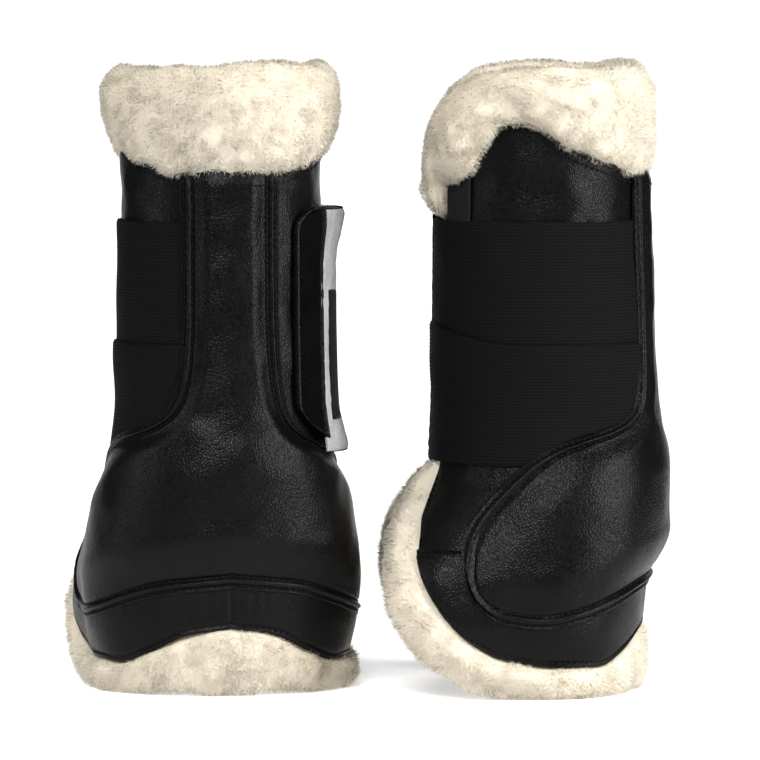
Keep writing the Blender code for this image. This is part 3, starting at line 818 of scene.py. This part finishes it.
# How far the fleece reaches past the leather's edge, and how far out it bulges there: along the bottom by
# angle, then up the front by height.
BOTTOM_REACH = [(0, 25.5), (18, 23), (38, 16), (58, 11.5), (85, 11.5), (110, 14), (130, 18), (150, 21)]
BOTTOM_BULGE = [(0, 1.5), (40, 2.5), (80, 4.5), (120, 6.5), (150, 8.0)]
FRONT_REACH = [(50, 21), (66, 21), (78, 18), (88, 10), (96, 6.5), (176, 6.5), (186, 9), (200, 11)]
FRONT_BULGE = [(50, 8), (66, 8), (78, 6.5), (88, 1.5), (94, -1), (182, -1), (186, 4.5), (192, 7), (200, 7.5)]


def hem_half(boot, side_name):
    """The fleece that shows past the leather: under the bottom edge and up the open front."""
    side = SIDES[side_name]
    a, z = leather_outline()
    smooth = np.ones(7) / 7
    a = np.concatenate([a[:3], np.convolve(a, smooth, "valid"), a[-3:]])
    z = np.concatenate([z[:3], np.convolve(z, smooth, "valid"), z[-3:]])
    edge = form(side * a, z, 0.0)
    normal = unit(form(side * a, z, 1.0) - edge)
    along = unit(np.gradient(edge, axis=0))
    outwards = unit(np.cross(normal, along)) * side
    outwards *= np.sign((outwards[0] * np.array([0, 0, -1])).sum())
    on_front = ramp(a, 146, 153)
    reach = curve(BOTTOM_REACH)(a) * (1 - on_front) + curve(FRONT_REACH)(z) * on_front
    bulge = curve(BOTTOM_BULGE)(a) * (1 - on_front) + curve(FRONT_BULGE)(z) * on_front
    tucked, depth_in = 3.5, -10.5
    under_straps = ramp(z, 76, 86) * (1 - ramp(z, 184, 194)) * on_front
    turn = full_turn(60)
    across, up = round_section(turn, 0.84)
    half = (reach + tucked)[:, None] / 2
    shift = (reach - tucked)[:, None] / 2
    closing = np.sqrt(np.clip(1 - (np.linspace(0, 1, len(a)) * 40 - 39).clip(0) ** 2, 0.05, 1))[:, None]
    past = shift + half * across * closing
    centre_d = (bulge + depth_in) / 2
    d = centre_d[:, None] + (bulge - depth_in)[:, None] / 2 * up * closing
    ceiling = -1.2 + 2.0 * past
    blunt = 0.9
    d = -blunt * np.log(np.exp(-d / blunt) + np.exp(-ceiling / blunt))
    rings = edge[:, None] + past[..., None] * outwards[:, None] + d[..., None] * normal[:, None]
    surface = np.concatenate([rings, rings[:, :1]], 1)
    hub = edge + shift * outwards + centre_d[:, None] * normal
    normals = facing(surface, surface - hub[:, None])
    surface = clumped(surface, normals, 81)
    around = list(range(len(turn))) + [0]
    comb = 0.75 * outwards[:, None] + 0 * surface
    outer = ramp(up, -0.5, 0.1)[around]
    density = (1.0 + 3.2 * outer)[None] * (1 - 0.4 * under_straps)[:, None]
    length = (3.3 - 1.2 * under_straps)[:, None] * (0.55 + 0.45 * ramp(past[:, around], -1.0, 2.5))
    nodes = ["back_hem", f"{side_name}_hem", f"{side_name}_front_fleece"]
    add_fleece(boot, side_name, "hem_roll", surface, normals, roll(surface[:, :-1]), comb, density,
               length, 800 + side, nodes)


def lining_half(boot, side_name):
    """The fleece lining inside, with a shorter, sparser pile."""
    side = SIDES[side_name]
    u, v = share_grid(70, 80)
    low = leather_bottom(156 * u) + 1.0
    high = collar_low(158 * u) + 2.0
    z = low + (high - low) * v
    a = (leather_front(z) - 0.5) * u
    at = form(side * a, z, -9.0)
    lumps = 0.7 * waves(91, 8.5)(at) + 0.35 * waves(92, 3.6)(at)
    inner = form(side * a, z, -9.0 - lumps)
    base = slab(form(side * a, z, -2.2), inner)
    down = np.zeros_like(inner)
    down[..., 2] = -0.5
    normals = facing(inner, inner * (-1, -1, 0))
    add_fleece(boot, side_name, "fleece_lining", inner, normals, base, down, 0.8 + 0 * u, 2.6 + 0 * u,
               900 + side, ["back_lining", f"{side_name}_lining"])


# --- straps, tab and trim ---

def webbing(side_t, z_low, z_high, rise, lift_out, lift_in):
    """Points, faces and weave values of a ribbed elastic along angles side_t."""
    rows = int((z_high - z_low) / RIB_PITCH) * 4 + 1
    t, v = np.meshgrid(side_t, np.linspace(0, 1, rows), indexing="ij")
    along = np.radians(np.abs(t - side_t[0])) * 42
    edge_wave = 0.15 * np.sin(along / 5.5) + 0.1 * np.sin(along / 2.3 + 1)
    z = z_low + (z_high - z_low + rise * ramp(np.abs(t), 105, 172)) * v + edge_wave * (2 * v - 1) ** 3
    rib = 0.5 + 0.5 * np.cos(2 * math.pi * (z_high - z_low) * v / RIB_PITCH)
    selvedge = 0.35 * (1 - ramp(np.minimum(v, 1 - v) * (z_high - z_low), 0, 1.2))
    soft = 0.25 * waves(41, 15)(form(t, z, 0.0))
    out = lift_out(t, z) + 0.2 * rib - selvedge + soft
    into = np.minimum(lift_in(t, z) + soft, out - 0.25)
    points, faces = slab(form(t, z, out), form(t, z, into))
    values = {"rib": np.tile(rib.ravel(), 2), "along": np.tile(along.ravel(), 2)}
    return points, faces, values


def cover_top(a):
    """The height of the strike cover's upper outline at an angle, on the medial side."""
    rows = np.linspace(COVER_LOW + 12, COVER_HIGH, 200)
    return np.interp(a, cover_edge_angle(rows)[::-1], cover_edge_height(rows)[::-1])


def strap_lift(high):
    """The outer and inner offsets of an elastic: thin under the cover, lapped where the two cross."""

    def out(t, z):
        a = np.abs(t)
        lapped = 1.35 * (high < 150) * ramp(z, 108, 131)
        tail = 3.6 * ramp(a, 196, 207)
        free = ramp(a, 25.5, 30) * ramp(z - cover_top(a), -2.5, 1.0)
        return 0.5 + 1.15 * free + lapped + tail

    def into(t, z):
        return np.maximum(out(t, z) - 1.25, 0.1)

    return out, into


def elastics(boot):
    """The two wide elastics: sewn run on the medial side, free run across the open front."""
    for name, (low, high), rise in (("upper", UPPER_ELASTIC, 0.0), ("lower", LOWER_ELASTIC, LOWER_RISE)):
        out, into = strap_lift(high)

        def run(part, node, t0, t1, steps, rests_on):
            points, faces, values = webbing(np.linspace(t0, t1, steps), low, high, rise, out, into)
            piece = add_piece(boot, f"{name}_elastic_{part}", points, faces, MATERIALS["elastic"], "elastic",
                              [f"{name}_{node}"], values=values)
            [boot.node(under) for under in rests_on]
            return piece

        sewn = run("sewn", "anchor", STRAP_ROOT, STRAP_SPLIT, 60, ["medial_shell"])
        bend_half(boot, sewn, "medial")
        free = run("free", "elastic", STRAP_SPLIT, STRAP_END, 70, ["medial_shell", "tab_panel"])
        bend(boot, free, "medial_wing", "straps", np.array([[x, 0.0, 0.0] for x in STRAP_BEND]))


def corner_flare(z):
    """How much further the tab stands off at its upper and lower corners."""
    return 3.4 * ramp(z, 165.0, 186.0) + 2.6 * (1.0 - ramp(z, 91.0, 112.0))


def tab_flare(t, z):
    """The tab stands off the shell most at its upper and lower corners, and towards its middle length."""
    return (0.4 + corner_flare(z)) * ramp(t, 50.0, 84.0) * (1.0 - ramp(t, 110.0, 146.0))


def patch_on_form(t0, t1, z0, z1, out, into, size=(50, 60)):
    """A closed patch on the form. out and into give its offsets over t, z and the way in from its rim."""
    u, v = share_grid(*size)
    t, z = t0 + (t1 - t0) * u, z0 + (z1 - z0) * v
    reach_u = np.minimum(u, 1 - u) * math.radians(abs(t1 - t0)) * 42
    reach_v = np.minimum(v, 1 - v) * (z1 - z0)
    inside = np.minimum(reach_u, reach_v)
    return slab(form(t, z, out(t, z, inside)), form(t, z, into(t, z, inside)))


def lay(boot, piece, bounds, d, under):
    """Measures a patch of the form along its middle, at offset d, and keeps nothing."""
    t0, t1, z0, z1 = bounds
    arc = float(run_lengths(form(np.linspace(t0, t1, 100), (z0 + z1) / 2, d))[-1])
    boot.node(under)


def tab_panel(boot):
    """The tab's grey felt body, softly rounded at its rim; its light grey is partly a painted reflection of
    the bright backdrop on the tab's face, seen at a grazing angle.
    """
    fuzz = waves(51, 2.6)

    def out(t, z, inside):
        return 5.7 + tab_flare(t, z) - 0.7 * (1 - ramp(inside, 0, 1.4)) + 0.12 * fuzz(form(t, z, 0.0))

    def into(t, z, inside):
        return 3.9 + tab_flare(t, z) + 0.4 * (1 - ramp(inside, 0, 1.0))

    shape = patch_on_form(TAB_TURN, TAB_FRONT, *TAB_HEIGHT, out, into, (80, 110))
    piece = add_piece(boot, "tab_felt", *shape, MATERIALS["plush"], "plush", ["tab_panel"])
    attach(piece, boot.node("tab"))
    lay(boot, piece, (TAB_TURN, TAB_FRONT, *TAB_HEIGHT), 5.5, "lateral_shell")


def seam_tape(boot):
    """The tape over the seam between the elastics' ends and the tab."""
    weave = waves(64, 1.6)

    def out(t, z, inside):
        return 7.3 - 0.6 * (1 - ramp(inside, 0, 0.8)) + 0.08 * weave(form(t, z, 0.0))

    def into(t, z, inside):
        return 5.0 + 0 * t

    shape = patch_on_form(*SEAM_TAPE, out, into, (24, 110))
    piece = add_piece(boot, "tab_seam_tape", *shape, MATERIALS["loop"], "elastic")
    bend(boot, piece, "straps", "tab", form(np.array([154.5, 146.5]), 130.0, 6.0))


def tab_edging(boot):
    """Overlocked thread round the tab's rim."""
    z = np.linspace(*TAB_HEIGHT, 200)
    t = np.linspace(TAB_TURN, TAB_FRONT, 200)
    sides = [(TAB_FRONT + 0 * z, z), (t, TAB_HEIGHT[0] + 0 * t), (t, TAB_HEIGHT[1] + 0 * t)]
    parts = []
    for ts, zs in sides:
        path = form(ts, zs, 4.8 + tab_flare(ts, zs))
        normals = form(ts, zs, 1.0) - form(ts, zs, 0.0)
        parts.append(stitches(path, normals, tilt=1.3, size=OVERLOCK))
    piece = add_piece(boot, "tab_overlock", *joined(parts), MATERIALS["loop"], "plush", sharp=False)
    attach(piece, boot.node("tab"))


def tongue_low(t):
    return 98.5 + (106.5 - 98.5) * (TAB_TURN - t) / (TAB_TURN - TONGUE_END)


def corner_arc(distance, radius):
    """How wide a rounded corner is at a distance from its end: 0 at the end, 1 from the radius on."""
    share = np.clip(distance / radius, 0, 1)
    return np.sqrt(np.clip(1 - (1 - share) ** 2, 0, 1))


def pull_tongue(boot):
    """The tab's dark pull end, lined with brushed cloth inside a raised rim, with its corners rounded."""
    high = TAB_HEIGHT[1] + 1.5
    root = TAB_TURN + 2.0
    u, v = share_grid(60, 150)
    middle = (root + TONGUE_END) / 2
    low = tongue_low(middle)
    z = low + (high - low) * v
    round_top, round_base = corner_arc(high - z, TONGUE_CORNER), corner_arc(z - low, TONGUE_LOW_CORNER)
    width = root - TONGUE_END
    start = root - 0.1 * width * (1 - round_top)
    end = TONGUE_END + 0.82 * width * (1 - round_top) + 0.8 * width * (1 - round_base)
    t = start + (end - start) * u
    z = z + (tongue_low(t) - low) * (1 - v)
    across = np.minimum(u, 1 - u) * np.radians(np.abs(start - end)) * 41
    inside = np.minimum(across, np.minimum(v, 1 - v) * (high - low))
    share = np.clip((root - t) / width, 0, 1)
    rise = 3.9 - 2.6 * share + 0.55 * corner_flare(z) * (1 - share) ** 1.5
    rim = 0.55 * (ramp(inside, 0.0, 0.5) - ramp(inside, 1.2, 1.7)) - 0.25 * bump(inside, 1.9, 0.35)
    out = rise + 1.25 + rim - 0.5 * (1 - ramp(inside, 0, 0.5))
    shape = slab(form(t, z, out), form(t, z, rise))
    piece = add_piece(boot, "tab_pull", *shape, MATERIALS["loop"], "leather", ["pull_tongue"])
    inlaid = np.flatnonzero(((inside > 1.6) & (np.minimum(v, 1 - v) > 0.01)).ravel())
    piece.data.materials.append(MATERIALS["leather"])
    held = set(inlaid.tolist())
    for face in piece.data.polygons:
        face.material_index = 0 if all(k in held for k in face.vertices) else 1
    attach(piece, boot.node("tab"))


def flat_trim(boot):
    """The loop patch, the hook patch, the plain badge and the blank label."""

    def layer(base, thickness, seed=1, rough=0.0, flare=False):
        lumps = waves(seed, 1.6)

        def out(t, z, inside):
            stand = tab_flare(t, z) if flare else 0.0
            return (base + thickness + stand - 0.5 * thickness * (1 - ramp(inside, 0, 0.9))
                    + rough * lumps(form(t, z, 0.0)))

        def into(t, z, inside):
            return base + (tab_flare(t, z) if flare else 0.0)

        return out, into

    fine, plain = (110, 150), (60, 70)
    trims = [
        ("loop_landing", "loop_patch", LOOP_TAPE, layer(0.3, 1.1, 61, 0.12), "loop", "lateral_wing", fine,
         (0.9, "lateral_shell")),
        ("hook_tape", "hook_patch", HOOK_TAPE, layer(2.4, 1.4, 62, 0.14, True), "hook", "tab", fine,
         (4.5, "tab_panel")),
        ("plain_badge", "tab_badge", BADGE, layer(5.6, 1.3, flare=True), "badge", "tab", plain, None),
        ("blank_label", "woven_label", LABEL, layer(0.4, 0.8, 63, 0.05), "label", "medial_wing", plain,
         (0.8, "medial_shell")),
    ]
    for name, node, bounds, out_into, slot, body, size, lies_on in trims:
        shape = patch_on_form(*bounds, *out_into, size)
        piece = add_piece(boot, name, *shape, MATERIALS[slot], slot, [node])
        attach(piece, boot.node(body))
        if lies_on:
            lay(boot, piece, bounds, *lies_on)


# --- the two boots ---

def build_boot(boot):
    for side_name in SIDES:
        shell_half(boot, side_name)
        band_half(boot, side_name)
        cover_half(boot, side_name)
        # Painted shade: a thin dark roll under the collar's lower edge.
        collar_shade_roll(boot, side_name)
        stitching_half(boot, side_name)
        collar_half(boot, side_name)
        hem_half(boot, side_name)
        lining_half(boot, side_name)
    elastics(boot)
    tab_panel(boot)
    seam_tape(boot)
    tab_edging(boot)
    pull_tongue(boot)
    flat_trim(boot)
    for node, slot in (("strike_plate", "plate"), ("impact_pad", "foam")):
        frame["nodes"][boot.node(node)].data.materials.clear()
        frame["nodes"][boot.node(node)].data.materials.append(MATERIALS[slot])


# --- floor, light and camera ---

def add_stage():
    """A pale floor that curves up into a backdrop."""
    bend = np.linspace(0.1, math.pi / 2, 12)
    depth = np.concatenate([np.linspace(-0.5, 0.7, 12), 0.7 + 0.5 * np.sin(bend), [1.2]])
    height = np.concatenate([np.zeros(12), 0.5 - 0.5 * np.cos(bend), [0.8]])
    x, y = np.meshgrid(np.array([-0.6, 0.6]), depth, indexing="ij")
    z = np.broadcast_to(height, x.shape)
    quads = grid_quads(np.arange(x.size).reshape(x.shape))
    mesh = make_mesh("sweep", np.stack([x, y, z], -1).reshape(-1, 3), [quads])
    n = Nodes("sweep")
    n.set(Base_Color=grey(0.85), Roughness=0.9, Specular_IOR_Level=0.0,
          Emission_Color=grey(1), Emission_Strength=0.5)
    mesh.materials.append(n.material)
    sweep = add_object("sweep", mesh)


def add_aimed(name, data, place, target):
    """An object at a place, facing a target."""
    thing = add_object(name, data)
    thing.location = place
    thing.rotation_euler = (Vector(target) - Vector(place)).to_track_quat("-Z", "Y").to_euler()
    return thing


def add_light(name, place, target, size, power):
    data = bpy.data.lights.new(name, "AREA")
    data.shape = "RECTANGLE"
    data.size, data.size_y = size
    data.energy = power
    add_aimed(name, data, place, target)


def add_lights():
    middle = (0.0, 0.0, 0.12)
    add_light("right_softbox", (0.78, -0.42, 0.42), middle, (0.28, 0.8), 14)
    add_light("left_softbox", (-0.95, -0.2, 0.45), middle, (0.25, 0.7), 3.5)
    add_light("top_softbox", (-0.25, -1.15, 0.95), middle, (0.6, 0.5), 24)
    world = bpy.data.worlds.new("studio")
    world.use_nodes = True
    background = world.node_tree.nodes["Background"]
    background.inputs["Color"].default_value = grey(1)
    background.inputs["Strength"].default_value = 0.06
    bpy.context.scene.world = world


def add_camera():
    target = Vector((0.0058, -0.0013, 0.1192))
    elevation, distance = math.radians(3.7), 2.4
    data = bpy.data.cameras.new("camera")
    data.lens, data.sensor_width = 292.7, 36.0
    data.clip_end = 20.0
    place = target + distance * Vector((0, -math.cos(elevation), math.sin(elevation)))
    bpy.context.scene.camera = add_aimed("camera", data, place, target)


for boot_name in ("boot1", "boot2"):
    build_boot(Boot(boot_name))
add_stage()
add_lights()
add_camera()
bpy.context.scene.view_settings.view_transform = "Standard"
